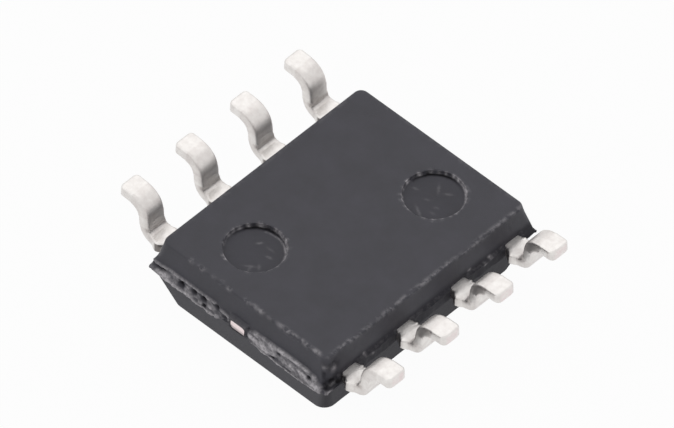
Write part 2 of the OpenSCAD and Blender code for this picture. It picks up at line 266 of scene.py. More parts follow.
# Pale crumbs and pits of the broken resin at -Y, the pits painted dark as shade: X, Z,
# # half length, half height in mm, and strength.
CRUMBS = (
    (-1.77, 0.86, 0.06, 0.04, 0.5), (-1.637, 0.86, 0.07, 0.09, 0.75),
    (-1.546, 0.80, 0.05, 0.05, 0.6), (-1.435, 0.80, 0.07, 0.05, 0.8),
    (-1.28, 0.80, 0.09, 0.03, 0.8), (-1.128, 0.95, 0.04, 0.03, 0.45),
    (-1.102, 0.815, 0.05, 0.04, 0.85), (-1.0, 0.774, 0.04, 0.04, 0.9),
    (-0.9, 0.756, 0.07, 0.04, 0.6), (-0.768, 0.764, 0.07, 0.04, 0.5),
    (-0.814, 0.85, 0.04, 0.02, 0.5), (-0.656, 0.755, 0.045, 0.045, 1.0),
    (-0.567, 0.765, 0.05, 0.045, 0.75), (-0.446, 0.80, 0.045, 0.04, 1.1),
    (-0.616, 0.909, 0.05, 0.025, 0.65), (-0.307, 1.007, 0.045, 0.025, 0.4),
    (-0.196, 0.98, 0.07, 0.02, 0.35), (0.284, 0.93, 0.045, 0.03, 1.1),
    (0.385, 0.915, 0.06, 0.035, 0.9), (0.541, 0.895, 0.08, 0.05, 1.1),
    (0.653, 0.867, 0.055, 0.035, 0.85), (0.785, 0.89, 0.045, 0.035, 1.0),
    (0.403, 1.04, 0.055, 0.03, 0.45), (0.581, 1.03, 0.055, 0.03, 0.4),
    (0.759, 1.03, 0.07, 0.05, 0.4), (0.959, 1.045, 0.1, 0.024, 0.7),
    (1.137, 1.045, 0.08, 0.024, 0.6), (1.293, 1.045, 0.08, 0.024, 0.65),
    (1.471, 1.04, 0.08, 0.03, 0.55), (1.672, 1.0, 0.045, 0.035, 0.85),
    (1.396, 0.921, 0.055, 0.028, 1.0), (1.496, 0.915, 0.06, 0.026, 0.8),
    (1.208, 0.917, 0.055, 0.04, 0.6), (1.631, 0.864, 0.08, 0.032, 0.8),
    (1.765, 0.86, 0.055, 0.035, 0.7), (0.767, 0.763, 0.055, 0.028, 0.55),
    (0.901, 0.723, 0.08, 0.024, 0.6), (1.079, 0.718, 0.08, 0.024, 0.6),
    (1.236, 0.70, 0.1, 0.022, 0.6), (1.413, 0.715, 0.08, 0.02, 0.5),
    (1.657, 0.738, 0.08, 0.03, 0.6), (1.80, 0.79, 0.04, 0.06, 0.6),
    (0.545, 0.75, 0.1, 0.03, 0.45), (1.03, 0.9, 0.15, 0.05, 0.3))
PITS = (
    (-1.273, 0.93, 0.05, 0.05, 1.0), (-0.99, 0.96, 0.05, 0.04, 0.75),
    (-0.773, 0.96, 0.045, 0.035, 0.95), (-0.736, 0.838, 0.03, 0.03, 0.7),
    (-0.463, 1.0, 0.04, 0.04, 1.0), (-1.72, 0.955, 0.12, 0.03, 0.8),
    (0.80, 0.825, 0.04, 0.022, 0.8), (1.574, 0.94, 0.04, 0.03, 0.8),
    (-0.27, 0.9, 0.08, 0.03, 0.4), (0.9, 0.97, 0.05, 0.02, 0.5),
    (1.1, 0.80, 0.12, 0.02, 0.4))
# Edges of the broken resin at -Y, as X and Z: the thin ledge and the lip left of the tie
# bar, and the gate's scar right of it.
LEDGE_TOP = ((-1.9, 1.03), (-1.75, 1.02), (-1.5, 1.045), (-1.08, 1.055), (-0.8, 1.04),
             (-0.52, 1.045), (-0.47, 1.0), (-0.36, 0.99), (-0.14, 0.955))
LIP_FOOT = ((-1.95, 0.83), (-1.75, 0.80), (-1.4, 0.77), (-1.1, 0.77), (-0.9, 0.73),
            (-0.65, 0.72), (-0.45, 0.76), (-0.3, 0.86), (-0.14, 0.90))
SCAR_TOP = ((0.2, 0.98), (0.36, 1.06), (0.6, 1.06), (0.96, 1.07), (1.3, 1.07), (1.5, 1.06),
            (1.67, 1.03), (1.84, 0.92))
SCAR_FOOT = ((0.2, 0.88), (0.35, 0.78), (0.55, 0.71), (0.77, 0.73), (0.9, 0.695),
             (1.24, 0.67), (1.5, 0.69), (1.84, 0.75))
# Pale flecks on the side at +X: Y, Z, half length, half height in mm, and strength.
SIDE_FLECKS = (
    (-2.2, 1.2, 0.05, 0.05, 0.5), (-2.34, 1.26, 0.04, 0.04, 0.3),
    (-2.28, 0.93, 0.07, 0.03, 0.3), (-2.4, 0.825, 0.08, 0.018, 0.8),
    (1.39, 1.02, 0.04, 0.03, 0.5), (1.25, 0.99, 0.04, 0.025, 0.5),
    (0.94, 1.06, 0.03, 0.025, 0.5), (-1.53, 1.04, 0.03, 0.03, 0.5),
    (-1.39, 0.97, 0.03, 0.03, 0.45))


def edge_height(x, knots):
    """The height at X of an outline through listed points."""
    return np.interp(x, *zip(*knots))


def blots(x, z, table):
    """Add up soft spots of a table at places X, Z."""
    return sum(strength * ridge(x - at, long) * ridge(z - level, tall)
               for at, level, long, tall, strength in table)


def edge_spots(x):
    """How rubbed the board face's edge at -Y is along X."""
    return sum(strength * ridge(x - at, wide) for at, wide, strength in EDGE_SPOTS)


def edge_patches(u, v, level):
    """How rubbed the other edges are: patches of noise round a level."""
    return np.clip(level + 1.3 * rough(u, v, 47), 0.1, 1)


def torn_end(x, z, size):
    """How far the broken resin stands out of the end at -Y, how pale it is, and how dark.

    Left of the tie bar a thin ledge runs above a crumbled lip, with pits between. Right of
    it lies the broken gate, a proud scar with streaks along it. A smear of resin covers
    the tie bar's end but for a pill-shaped window. Each is a region between edges that
    wander along X, times a height of noise plus the listed crumbs, less the listed pits.
    The pits are painted dark as shade, the ledge's top edge carries a painted highlight,
    and the smear is darker in a ring round the window.
    """
    grain = rough(x * 13, z * 19, 3)
    crumb = rough(x * 30, z * 38, 5)
    streak = rough(x * 3.5, z * 34, 8)
    wander = rough(x * 6, 0 * z, 12)
    moved_x, moved_z = x + 0.02 * rough(x * 9, z * 9, 21), z + 0.014 * rough(x * 9, z * 9, 23)
    crumbs = np.clip(blots(moved_x, moved_z, CRUMBS), 0, 1.1)
    pits = np.clip(blots(moved_x, moved_z, PITS), 0, 1)

    high = edge_height(x, LEDGE_TOP) + 0.006 * wander
    low = edge_height(x, LIP_FOOT) + 0.012 * wander
    left = span(x, -2.02, -1.93, -0.2, -0.15)
    between = left * ease(-0.008, 0.022, z - low) * (1 - ease(-0.012, 0.012, z - high))
    ledge = left * ridge(z - high + 0.008, 0.014)
    scar_high = edge_height(x, SCAR_TOP) + 0.01 * wander
    scar_low = edge_height(x, SCAR_FOOT) + 0.01 * wander
    scar = span(x, 0.19, 0.24, 1.82, 1.87) * ease(-0.012, 0.012, z - scar_low) * (
        1 - ease(-0.012, 0.012, z - scar_high))
    broken = between + scar
    out = (between * (0.024 + 0.014 * grain + 0.012 * crumb + 0.03 * crumbs - 0.07 * pits)
           + 0.022 * ledge
           + scar * (0.042 + 0.012 * streak + 0.01 * crumb + 0.026 * crumbs - 0.05 * pits))

    # The pill is the distance from its outline, less than 0 inside the window.
    pill = np.hypot(np.maximum(np.abs(x - 0.005) - 0.105, 0),
                    np.maximum(np.abs(z - 0.89) - 0.04, 0)) - 0.045
    smear = span(x, -0.22, -0.18, 0.17, 0.21) * span(z, 0.74, 0.79, 1.03, 1.06) * ease(
        -0.004, 0.008, pill)
    parting = size.parting / MM
    cover = (0.03 + tan(size.board_draft) * np.maximum(0, z - parting)
             + tan(size.marked_draft) * np.maximum(0, parting - z))
    # The ledge's thin pale line is a painted highlight along its top edge.
    pale = (between * (0.2 + 0.4 * grain) + 0.5 * ledge
            + scar * (0.26 + 0.42 * streak + 0.3 * grain)
            + broken * (1.8 + 0.9 * crumb) * crumbs - 1.6 * pits * broken + 0.1 * smear)
    # Painted shade in the pits; the smear is also darker in a ring round the window.
    dark = 1.2 * pits * broken + 0.5 * smear * ridge(pill, 0.04)
    return (np.clip(out + cover * smear, -0.08, 0.084), np.clip(pale, 0, 1),
            np.clip(dark, 0, 1))


def torn_vent(x, z):
    """How far the thin broken resin stands out of the end at +Y: two ragged flakes."""
    flake = span(np.abs(x), 0.2, 0.25, 1.63, 1.68) * span(z, 0.80, 0.83, 0.97, 1.03)
    height = 0.022 + 0.016 * rough(x * 6, z * 20, 31)
    return np.clip(flake * height, 0, 0.045), flake * (0.4 + 0.3 * rough(x * 8, z * 25, 33))


def side_rows(size):
    """Levels of the body's sides from the board face down: height, inset and corner radius.

    The sides slope in from the parting line by the two drafts. The two face edges are
    quarter rounds, the levels are closest where the torn resin is, and the flash is a thin
    lip with tighter corners, marked by the last value.
    """
    edge, parting, height = size.edge / MM, size.parting / MM, size.height / MM
    turn, lower_turn = np.linspace(0, pi / 2, 4)[1:], np.linspace(pi / 2, 0, 4)
    flash_rows = [0.829, 0.811]
    levels = np.concatenate([
        height - edge + edge * np.cos(turn), steps([1.41, 1.10, 0.85], [6, 19]),
        [0.838, *flash_rows, 0.802], steps([0.795, 0.60, 0.05], [12, 5]),
        edge - edge * np.cos(lower_turn)])
    inset = np.where(levels > parting, (levels - parting) * tan(size.board_draft),
                     (parting - levels) * tan(size.marked_draft))
    inset[:3] += edge * (1 - np.sin(turn))
    inset[-4:] += edge * (1 - np.sin(lower_turn))
    flash = np.isin(np.round(levels, 3), flash_rows)
    below = np.maximum(0, 1 - levels / parting)
    corner = size.corner / MM + (size.marked_corner - size.corner) / MM * below
    corner *= 1 - 0.86 * ridge(levels - parting, 0.04)
    return levels, inset, corner, flash


class MakeChipBody(bpy.types.Operator):
    """Build the moulded body with its ejector marks, torn resin, flash and pin-one dimple"""
    bl_idname = "chip.make_body"
    bl_label = "Moulded body"

    def execute(self, context):
        size = context.scene.chip_body
        half = np.array([size.width, size.length]) / MM / 2
        top_inset = (size.height - size.parting) / MM * tan(size.board_draft) + size.edge / MM
        face = half - top_inset
        x, y, z, marked, rubbed = self.board_face(size, face)
        top = np.stack([x, y, z], -1).reshape(-1, 3)
        ids = np.arange(x.size).reshape(x.shape)

        # The sides hang from the face's outline, one column for each of its points.
        outline = np.concatenate([ids[:-1, 0], ids[-1, :-1], ids[:0:-1, -1], ids[0, :0:-1]])
        rim = top[outline, :2]
        core = face - size.corner / MM
        straight = np.clip(rim, -core, core)
        bend = (rim - straight) / (size.corner / MM)
        walls, torn, worn, dark = self.sides(size, half, straight / core, bend)
        wall_ids = x.size + np.arange(dark.size).reshape(dark.shape)
        rings, pole = self.marked_face(size, half, walls[-1])
        base = x.size + dark.size
        ring_ids = base + np.arange(len(rings) * len(rim)).reshape(len(rings), -1)

        points = np.concatenate([top, walls.reshape(-1, 3), *rings, pole])
        last = ring_ids[-1]
        faces = [quads(ids), quads(wrapped(np.vstack([outline[None], wall_ids]))),
                 quads(wrapped(np.vstack([wall_ids[-1:], ring_ids])))]
        fan = [[int(a), len(points) - 1, int(b)] for a, b in zip(last, np.roll(last, -1))]
        plain = np.zeros(len(points) - base)
        # The "marked" mask carries the darkening: painted shade in the pits, the marks' crescents,
        # between the leads, the near corner's dents and low on the -Y end, and the marks' slightly
        # darker floors.
        masks = {name: np.concatenate([on_face.reshape(-1), on_walls.reshape(-1), plain])
                 for name, on_face, on_walls in (
                     ("marked", marked, dark), ("torn", rubbed, torn),
                     ("worn", self.edge_wear(x, y, face), worn))}
        piece = make_piece("moulded_body", points, np.concatenate(faces).tolist() + fan,
                           moulding_compound(context.scene.chip_colours), masks)
        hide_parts("mould_body")
        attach(piece, "root")
        return {"FINISHED"}

    def board_face(self, size, face):
        """The board face as a grid: its points, how dark they are and how rubbed.

        The squares round the two ejector marks are warped to circles, and the four corner
        squares to quarter discs.
        """
        # Both marks sit a little off the middle, as the pins had drifted in the mould.
        marks = [(s * size.mark_across / MM - 0.017, s * size.mark_along / MM + 0.04)
                 for s in (-1, 1)]
        reach, cells = 0.62, 31
        radius, corner = size.mark / MM / 2, size.corner / MM
        rings = [0, 23, 25, 26, 27, 28, cells]
        radii = [0, radius - 0.05, radius - 0.02, radius - 0.005, radius + 0.003,
                 radius + 0.02, reach]
        lines = []
        for axis, (edge_steps, middle_steps) in enumerate(((15, 3), (6, 50))):
            knots = [-face[axis], -face[axis] + corner,
                     marks[0][axis] - reach, marks[0][axis] + reach,
                     marks[1][axis] - reach, marks[1][axis] + reach,
                     face[axis] - corner, face[axis]]
            lines.append(steps(knots, [6, edge_steps, 2 * cells, middle_steps, 2 * cells,
                                       edge_steps, 6]))
        x, y = np.meshgrid(*lines, indexing="ij")
        z = np.full_like(x, size.height / MM)
        marked, rubbed = np.zeros_like(x), np.zeros_like(x)
        for number, centre in enumerate(marks):
            x, y, ring = disc_warp(x, y, centre, reach / cells, rings, radii)
            near = ring < cells
            rise, floor, rim = self.mark_profile(x, y, centre, ring, size, number)
            z = np.where(near, z + rise, z)
            marked = np.where(near, floor, marked)
            rubbed = np.where(near, rim, rubbed)
        x, y = self.round_corners(x, y, face, corner)
        return x, y, z, marked, rubbed

    @staticmethod
    def marked_face(size, half, foot):
        """Rings from the foot of the sides to the dimple and down its wall, and its middle."""
        middle = half - size.parting / MM * tan(size.marked_draft) - size.dimple_inset / MM
        away = foot[:, :2] - middle
        unit = away / np.hypot(away[:, 0], away[:, 1])[:, None]
        radius, depth = size.dimple / MM / 2, size.dimple_depth / MM
        flats = [(foot[:, :2] * (1 - share) + (middle + unit * radius * 1.06) * share, 0)
                 for share in (0.25, 0.5, 0.75, 0.92)]
        flats += [(middle + unit * radius * scale, drop) for scale, drop in (
            (1.03, 0), (1.0, 0.1), (0.9, 0.93), (0.85, 1.0), (0.4, 1.0))]
        rings = [np.column_stack([flat, np.full(len(flat), depth * drop)])
                 for flat, drop in flats]
        return rings, np.array([[middle[0], middle[1], depth]])

    @staticmethod
    def round_corners(x, y, face, corner):
        """Turn the four corner squares of the grid into quarter discs, ring by ring."""
        u = (np.abs(x) - (face[0] - corner)) / corner
        v = (np.abs(y) - (face[1] - corner)) / corner
        inside = (u > 1e-6) & (v > 1e-6)
        ring = np.maximum(u, v)
        turn = pi / 4 * np.minimum(u, v) / np.where(ring > 0, ring, 1)
        turn = np.where(v > u, pi / 2 - turn, turn)
        new_x = np.sign(x) * (face[0] - corner + corner * ring * np.cos(turn))
        new_y = np.sign(y) * (face[1] - corner + corner * ring * np.sin(turn))
        return np.where(inside, new_x, x), np.where(inside, new_y, y)

    @staticmethod
    def edge_wear(x, y, face):
        """How rubbed the board face is near its edges: listed spots at -Y, else patches."""
        near_end = ease(-2.2, -2.27, y) * (np.abs(x) < face[0] - 0.05)
        right_edge = x - face[0] > np.abs(y) - face[1]
        patchy = edge_patches(x * 2.5 + 9, y * 2.5, 0.75) * (0.15 + 0.45 * right_edge)
        patchy = patchy * (1 - near_end) + near_end * edge_spots(x)
        past = np.maximum(np.abs(x) - face[0], np.abs(y) - face[1])
        return ridge(past + 0.008, 0.04) * patchy

    @staticmethod
    def mark_profile(x, y, centre, ring, size, number):
        """Height of an ejector mark, how far it is dark, and how pale it is rubbed.

        The wall falls from ring 27 to ring 26, with a ragged edge and a painted shadow, a dark
            crescent, on its far side; the floor is a little darker. Chips of rubbed resin stand on
            the rim at listed turns, scuffs lie on the floor at listed places, and a thin crack of
            pale resin runs along the wall.
        """
        depth = size.mark_depth / MM
        u, v = x - centre[0], y - centre[1]
        turn, away = np.degrees(np.arctan2(v, u)), np.hypot(u, v)
        ragged = rough(9 * np.cos(np.radians(turn)) + 40, 9 * np.sin(np.radians(turn)) + 40,
                       50 + number)
        wall = ease(25.7 - 0.6 * np.maximum(0, ragged), 27 + 1.6 * np.maximum(0, -ragged), ring)
        floor = 1 - wall
        chips = sum(strength * ridge((turn - at + 180) % 360 - 180, wide)
                    for at, wide, strength in MARK_CHIPS[number])
        rim = ridge(away - 0.522 - 0.012 * ragged, 0.016) * np.clip(
            chips * (1 + 0.9 * ragged), 0, 1.2)
        scuffs = floor * sum(
            strength * ridge((u - a) * cos(t) + (v - b) * sin(t), long)
            * ridge((v - b) * cos(t) - (u - a) * sin(t), 0.022)
            for a, b, t, long, strength in MARK_SCUFFS[number])
        starts, radii, strengths = zip(*MARK_CRACKS[number])
        crack = ridge(away - np.interp(turn, starts, radii), 0.014) * np.interp(
            turn, starts, strengths)
        # Painted shadow: a dark crescent inside the far rim.
        middle, wide, thick = MARK_SHADES[number]
        shade = ridge(turn - middle, wide) * ridge(away - 0.485 - 0.016 * ragged, thick)
        dark = 0.12 * floor + (1.3 + 0.6 * ragged) * shade * (1 - crack)
        speckled = 0.06 * (ragged > 0.1) * ridge(away - 0.52, 0.015)
        uneven = 0.003 * rough(x * 5, y * 5, 60 + number) * floor
        return (-depth * floor + uneven - 0.004 * rim * (1 - floor), np.clip(dark, 0, 1),
                np.clip(0.85 * rim + 0.28 * scuffs + crack + speckled, 0, 1))

    @staticmethod
    def sides(size, half, straight, bend):
        """Points of the sides by level and column, and how torn, worn and dark each is.

        A column keeps its share of the straight sides and its turn round the corner, and
        the levels set its inset and the corner's radius. Then it stands out by the flash,
        the resin that the dam bar held back, and the torn resin of the two ends.
        """
        levels, inset, corners, flash = side_rows(size)
        z = levels[:, None]
        out = bend / np.hypot(bend[:, 0], bend[:, 1])[:, None]
        parting, thick = size.parting / MM, size.frame / MM
        # The torn corner at -X and -Y is sharp over the thickness of the leadframe, and the
        # one at +X and +Y is sharp at the parting line and rounder above it.
        torn_side = ease(0.4, 0.95, -straight[:, 0]) * ease(0.6, 0.95, -straight[:, 1])
        flash_side = ease(0.4, 0.95, straight[:, 0]) * ease(0.6, 0.95, straight[:, 1])
        sharp = (0.8 * torn_side * span(z, parting - 0.03, parting, parting + 0.2, parting + 0.26)
                 + 0.85 * flash_side * ease(parting - 0.03, parting, z)
                 * np.clip(1 - (z - parting) / 0.45, 0, 1))
        radius = corners[:, None] * (1 - sharp)
        core = half - inset[:, None]
        x = straight[:, 0] * (core[:, :1] - radius) + bend[:, 0] * radius
        y = straight[:, 1] * (core[:, 1:] - radius) + bend[:, 1] * radius
        run = np.where(np.abs(out[:, 0]) > 0.7, y, x + 7)
        ragged = 0.6 + 0.7 * rough(run * 7, z * 3, 41)
        at_corner = np.clip(4 * np.abs(out[:, 0] * out[:, 1]), 0, 1)
        lip = flash[:, None] * size.flash / MM * np.clip(ragged + at_corner, 0.1, 1)

        # The resin that the dam bar held back is as thick as the leads, with a broken face.
        from_corner = np.hypot(x + half[0], y + half[1])
        high = thick * (1 - 0.75 * (1 - ease(0.0, 0.3, from_corner)))
        band = ease(-0.012, 0.004, z - parting) * (1 - ease(-0.012, 0.006, z - parting - high))
        dam = band * (np.maximum(0, z - parting) * tan(size.board_draft)
                      + size.dam_resin / MM * np.clip(ragged, 0.35, 1))
        along_side = ease(0.8, 0.98, np.abs(out[:, 0])) * (np.abs(y) < half[1] - 0.28)
        torn_corner = (1 - ease(0.4, 0.55, from_corner)) * (
            1 - ease(0.9, 1, -out[:, 1]) * ease(-1.88, -1.78, x))
        dam = dam * np.maximum(along_side, torn_corner)

        everywhere = z + 0 * x
        near_out, near_torn, near_dark = torn_end(x, everywhere, size)
        far_out, far_torn = torn_vent(x, everywhere)
        facing_near = np.maximum(0, -out[:, 1]) ** 2
        facing_far = np.maximum(0, out[:, 1]) ** 2
        near = facing_near * near_out
        lip = np.where(np.abs(near) > 0.004, np.minimum(lip, 0.01), lip)
        rough_side = rough(run * 11, z * 13, 45)
        near_corner = ease(0.1, 0.4, out[:, 0]) * ease(-2.0, -2.15, y) * span(
            z, 0.84, 0.88, 1.28, 1.4)
        hollows = np.minimum(0, rough_side) * (z < size.height / MM - 0.05) * (
            0.006 * np.abs(out[:, 0]) ** 4 + 0.03 * near_corner)
        outwards = np.maximum(lip, dam) + near + facing_far * far_out + hollows
        x, y = x + out[:, 0] * outwards, y + out[:, 1] * outwards

        flecks = (out[:, 0] > 0.2) * blots(y + 0.02 * rough_side, z + 0 * y, SIDE_FLECKS)
        flecks = flecks + ridge(np.hypot(x + 1.86, y + 2.24), 0.05) * ridge(z - 1.22, 0.03)
        torn = facing_near * near_torn + facing_far * far_torn + flecks
        patchy = edge_patches(run * 2.5, z * 2.5, 0.7) * (0.15 + 0.45 * (out[:, 0] > 0.5))
        patchy = patchy * (1 - facing_near) + facing_near * edge_spots(x)
        worn = (patchy * ridge(z - size.height / MM, 0.03)
                + 0.15 * along_side * ridge(z - parting - thick, 0.02)
                + 0.3 * at_corner * ridge(z - parting, 0.03))
        # Painted shade: the +X side is darkened below the top of the dam band, the near corner's
        # dents are darker where they dig in, and the -Y end is darker below the parting line.
        shade = ease(0.15, 0.85, out[:, 0]) * (
            1 - ease(parting + thick - 0.02, parting + thick + 0.12, z))
        below = 1 - ease(parting - 0.03, parting - 0.01, z)
        dark = facing_near * (near_dark + 0.25 * below) + 0.5 * shade + near_corner * (
            0.15 + 0.4 * ease(-0.3, 0.4, -rough_side))
        return np.stack([x, y, everywhere], -1), *(
            np.clip(values + 0 * x, 0, 1) for values in (torn, worn, dark))


# ---------------------------------------------------------------- leads

def lead_path(size):
    """The middle line of a lead from its bond pad to its toe, as points X, Z and slopes.

    Straight along the frame, round the shoulder's bend, up the riser, round the heel's
    bend and out along the foot. The bends are arcs about centres square to the slopes.
    """
    t = size.thickness / MM
    top, toe = size.top / MM, size.toe / MM
    middle = size.level / MM + t / 2
    bend_start = (size.side + size.shoulder) / MM
    shoulder = size.shoulder_bend / MM + t / 2
    heel = size.heel_bend / MM + t / 2
    riser, foot = pi / 2 - size.riser_lean, size.foot_rise
    start = np.array([bend_start + shoulder * sin(riser), middle + shoulder * (1 - cos(riser))])
    up = np.array([cos(riser), sin(riser)])
    along = np.array([cos(foot), sin(foot)])
    toe_middle = np.array([toe, top - t / 2 / cos(foot)])
    gap = toe_middle - start
    rise = (gap[0] * along[1] - gap[1] * along[0]) / (up[0] * along[1] - up[1] * along[0])
    fold = start + rise * up
    heel_start = fold - heel * tan((riser - foot) / 2) * up
    heel_centre = heel_start + heel * np.array([sin(riser), -cos(riser)])
    heel_end = fold + heel * tan((riser - foot) / 2) * along

    def arc(centre, radius, a, b, count):
        slope = np.linspace(a, b, count)
        return np.column_stack([centre[0] + radius * np.sin(slope),
                                centre[1] - radius * np.cos(slope), slope])

    def line(a, b, slope, count):
        share = np.linspace(0, 1, count)[1:-1, None]
        return np.column_stack([a + share * (b - a), np.full(len(share), slope)])

    return [
        arc((bend_start, middle + shoulder), shoulder, 0, riser, 18),
        line(start, heel_start, riser, 10),
        arc(heel_centre, -heel, riser, foot, 26),
        line(heel_end, toe_middle, foot, 16),
    ], (bend_start, middle), (heel_end, toe_middle, foot)


def lead_sections(size, end_lead, cuts):
    """Stations of a lead: middle X and Z, slope, and the Y of its two edges.

    The edges follow the plan: bond pad, root, the two dam-bar stubs with rounded ends,
    then the even width of the riser and foot, and the toe's rounded corners.
    """
    bent, (bend_start, middle), (heel_end, toe_middle, foot) = lead_path(size)
    stub_end = bend_start - size.stub_length / MM / 12
    stub_start = stub_end - size.stub_length / MM
    pad_start = size.pad_start / MM + (size.short_pad - size.long_pad) / MM * end_lead
    pad_end = size.pad_start / MM + size.short_pad / MM
    root, width = size.root / MM / 2, size.width / MM / 2
    stub, pad = size.stub / MM / 2, size.pad_width / MM / 2
    shift = (pad - root) * end_lead
    flat = np.concatenate([
        steps([pad_start, pad_start + 0.07, pad_end - 0.07, pad_end], [6, 3, 6]),
        [pad_end + 0.01, 1.8, 1.9, 1.94],
        np.linspace(1.96, bend_start - 0.008, 34)])
    flat = np.column_stack([flat, np.full(len(flat), middle), np.zeros(len(flat))])
    path = np.concatenate([flat] + bent)
    corner = size.toe_corner / MM
    tip = toe_middle[0] - corner * np.cos(np.linspace(0.35, pi / 2, 9))
    tip = np.column_stack([tip, toe_middle[1] + (tip - toe_middle[0]) * tan(foot),
                           np.full(len(tip), foot)])
    path = np.concatenate([path[path[:, 0] < toe_middle[0] - corner], tip])
    x = path[:, 0]
    in_pad = x <= pad_end + 1e-6
    rounding = 0.07 - np.sqrt(np.maximum(0, 0.07 ** 2 - np.maximum(
        0, np.maximum(pad_start + 0.07 - x, x - pad_end + 0.07)) ** 2))
    knots = [1.9, stub_start - 0.03, stub_start + 0.01, stub_start + 0.05,
             stub_start + 0.09, stub_end - 0.05, stub_end + 0.015, stub_end + 0.07]
    toe = x > toe_middle[0] - corner
    toe_cut = corner - np.sqrt(np.maximum(0, corner ** 2 - (x - toe_middle[0] + corner) ** 2))
    edges = []
    for side, cut in zip((-1, 1), cuts):
        reach = stub + cut
        plan = np.interp(x, knots, [root, root + 0.014, root + 0.045, reach - 0.012, reach,
                                    max(reach - 0.016, width), width + 0.01, width])
        plan = np.where(path[:, 2] > 0.5, width, plan)
        half = np.where(in_pad, pad - rounding, plan) - toe * toe_cut
        edges.append(side * half - np.where(in_pad, shift, 0))
    return path, *edges


def lead_points(size, end_lead, cuts, seed):
    """Carry a rounded rectangle along a lead's path.

    The edges on the solder side are rolled over by the punch, also at the toe, and the
    others are crisp. In a bend the outer half draws in and the inner half swells a little,
    and the forming anvil leaves a dull lens-shaped bead at the foot of the riser.
    """
    path, low, high = lead_sections(size, end_lead, cuts)
    t = size.thickness / MM / 2
    soft, crisp = 0.046, 0.02
    quarter = np.linspace(0, pi / 2, 5)
    corners = []
    for sy, sz, r, turn in ((1, -1, crisp, -pi / 2), (1, 1, soft, 0),
                            (-1, 1, soft, pi / 2), (-1, -1, crisp, pi)):
        corners.append(np.column_stack([
            np.full(5, sy), -sy * r + r * np.cos(quarter + turn),
            sz * (t - r) + r * np.sin(quarter + turn)]))
    section = np.concatenate([
        corners[0], [[1, 0, -t * 0.5], [1, 0, -t * 0.1]], corners[1],
        [[0.4, 0, t], [-0.4, 0, t]], corners[2], [[-1, 0, -t * 0.1], [-1, 0, -t * 0.5]],
        corners[3], [[-0.4, 0, -t], [0.4, 0, -t]]])
    middle, half = (low + high) / 2, (high - low) / 2
    slope = path[:, 2]
    bend_from = (size.side + size.shoulder) / MM - 0.02
    turning = np.abs(np.gradient(slope))
    bend = ease(0.01, 0.07, turning)
    inner = np.where(path[:, 1] < 1.2, 1, -1)
    swell = 1 + 0.05 * bend[:, None] * inner[:, None] * section[None, :, 2] / t
    side = middle[:, None] + section[None, :, 0] * half[:, None] * swell + section[None, :, 1]
    lift = section[None, :, 2] + 0 * side
    rolled = 0.6 * size.toe_corner / MM
    past = np.maximum(0, path[:, 0:1] - size.toe / MM + rolled)
    drop = rolled - np.sqrt(np.maximum(0, rolled ** 2 - past ** 2))
    lift = lift - 0.75 * drop * np.maximum(0, section[None, :, 2]) / t
    run = np.append(0, np.cumsum(np.hypot(*np.diff(path[:, :2], axis=0).T)))
    run = (run - np.interp(bend_from - 0.06, path[:, 0], run))[:, None]
    end = 0.52 - 0.1 * section[None, :, 0] ** 2
    lens = ease(0.27, 0.29, run) * (1 - ease(end - 0.04, end, run)) * (section[None, :, 2] > 0)
    lift = lift + 0.008 * lens * np.maximum(0, section[None, :, 2]) / t
    lift = lift + 0.0022 * rough(path[:, 0:1] * 9 + path[:, 1:2] * 9 + seed, side * 9, seed)
    normal = np.column_stack([-np.sin(slope), np.cos(slope)])
    x = path[:, 0:1] + normal[:, 0:1] * lift
    z = path[:, 1:2] + normal[:, 1:2] * lift
    points = np.stack([x, side, z], -1)
    inside = ease(1.6, 1.35, path[:, 1]) * ease(bend_from - 0.1, bend_from, path[:, 0])
    pressed = np.maximum(0.4 * inside[:, None] * (section[:, 2] > 0), lens)
    # Painted shade on the cut side faces of the dam-bar stubs.
    on_stub = ease(0.2, 0.23, half) * (path[:, 0] > 1.98) * ease(
        bend_from - 0.04, bend_from - 0.1, path[:, 0])
    stub_shade = on_stub[:, None] * (np.abs(section[:, 0]) == 1) * (section[:, 2] < t - 0.02)
    return points, bend, stub_shade, pressed


